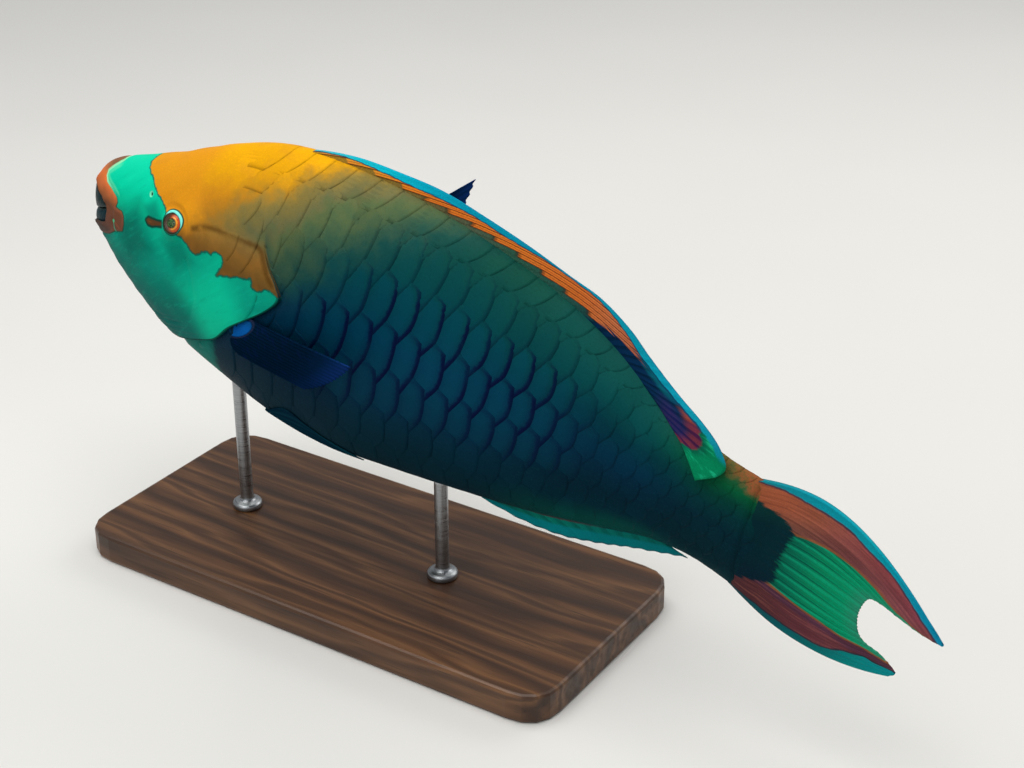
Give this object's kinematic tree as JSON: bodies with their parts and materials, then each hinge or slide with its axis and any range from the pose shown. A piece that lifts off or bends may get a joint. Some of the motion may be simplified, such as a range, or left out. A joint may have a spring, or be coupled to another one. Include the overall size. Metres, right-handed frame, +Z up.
{
  "type": "parrotfish display model",
  "caption": "Life-size still model of a green-throated parrotfish swimming nose up with its tail swung to one side, held over a flat wooden base by short rods.",
  "frame": {"origin": "centre of the underside of the stand's base, on the floor", "axes": "+Z up, -Y toward the fish's head, +X toward the fish's left side; the fish is pitched 12 degrees nose up and its tail is swung 10 degrees to its left"},
  "size_m": [0.2289, 0.5597, 0.2659],
  "materials": {
    "skin_head": "satin",
    "skin_body": "satin",
    "tooth_plate": "satin",
    "eye": "gloss",
    "fin_dorsal": "satin",
    "fin_green": "satin",
    "fin_tail": "satin",
    "fin_navy": "satin",
    "stand_wood": "satin",
    "stand_steel": "brushed"
  },
  "bodies": {
    "root": {"head": "skin_head", "trunk": "skin_body", "tail_stalk": "skin_body", "beak_upper": "tooth_plate", "beak_lower": "tooth_plate", "eye_left": "eye", "eye_right": "eye", "dorsal_fin": "fin_dorsal", "anal_fin": "fin_green", "caudal_fin": "fin_tail", "pectoral_fin_left": "fin_navy", "pectoral_fin_right": "fin_navy", "pelvic_fin_left": "fin_green", "pelvic_fin_right": "fin_green", "stand_base": "stand_wood", "stand_rod_front": "stand_steel", "stand_rod_rear": "stand_steel"}
  },
  "joints": []
}
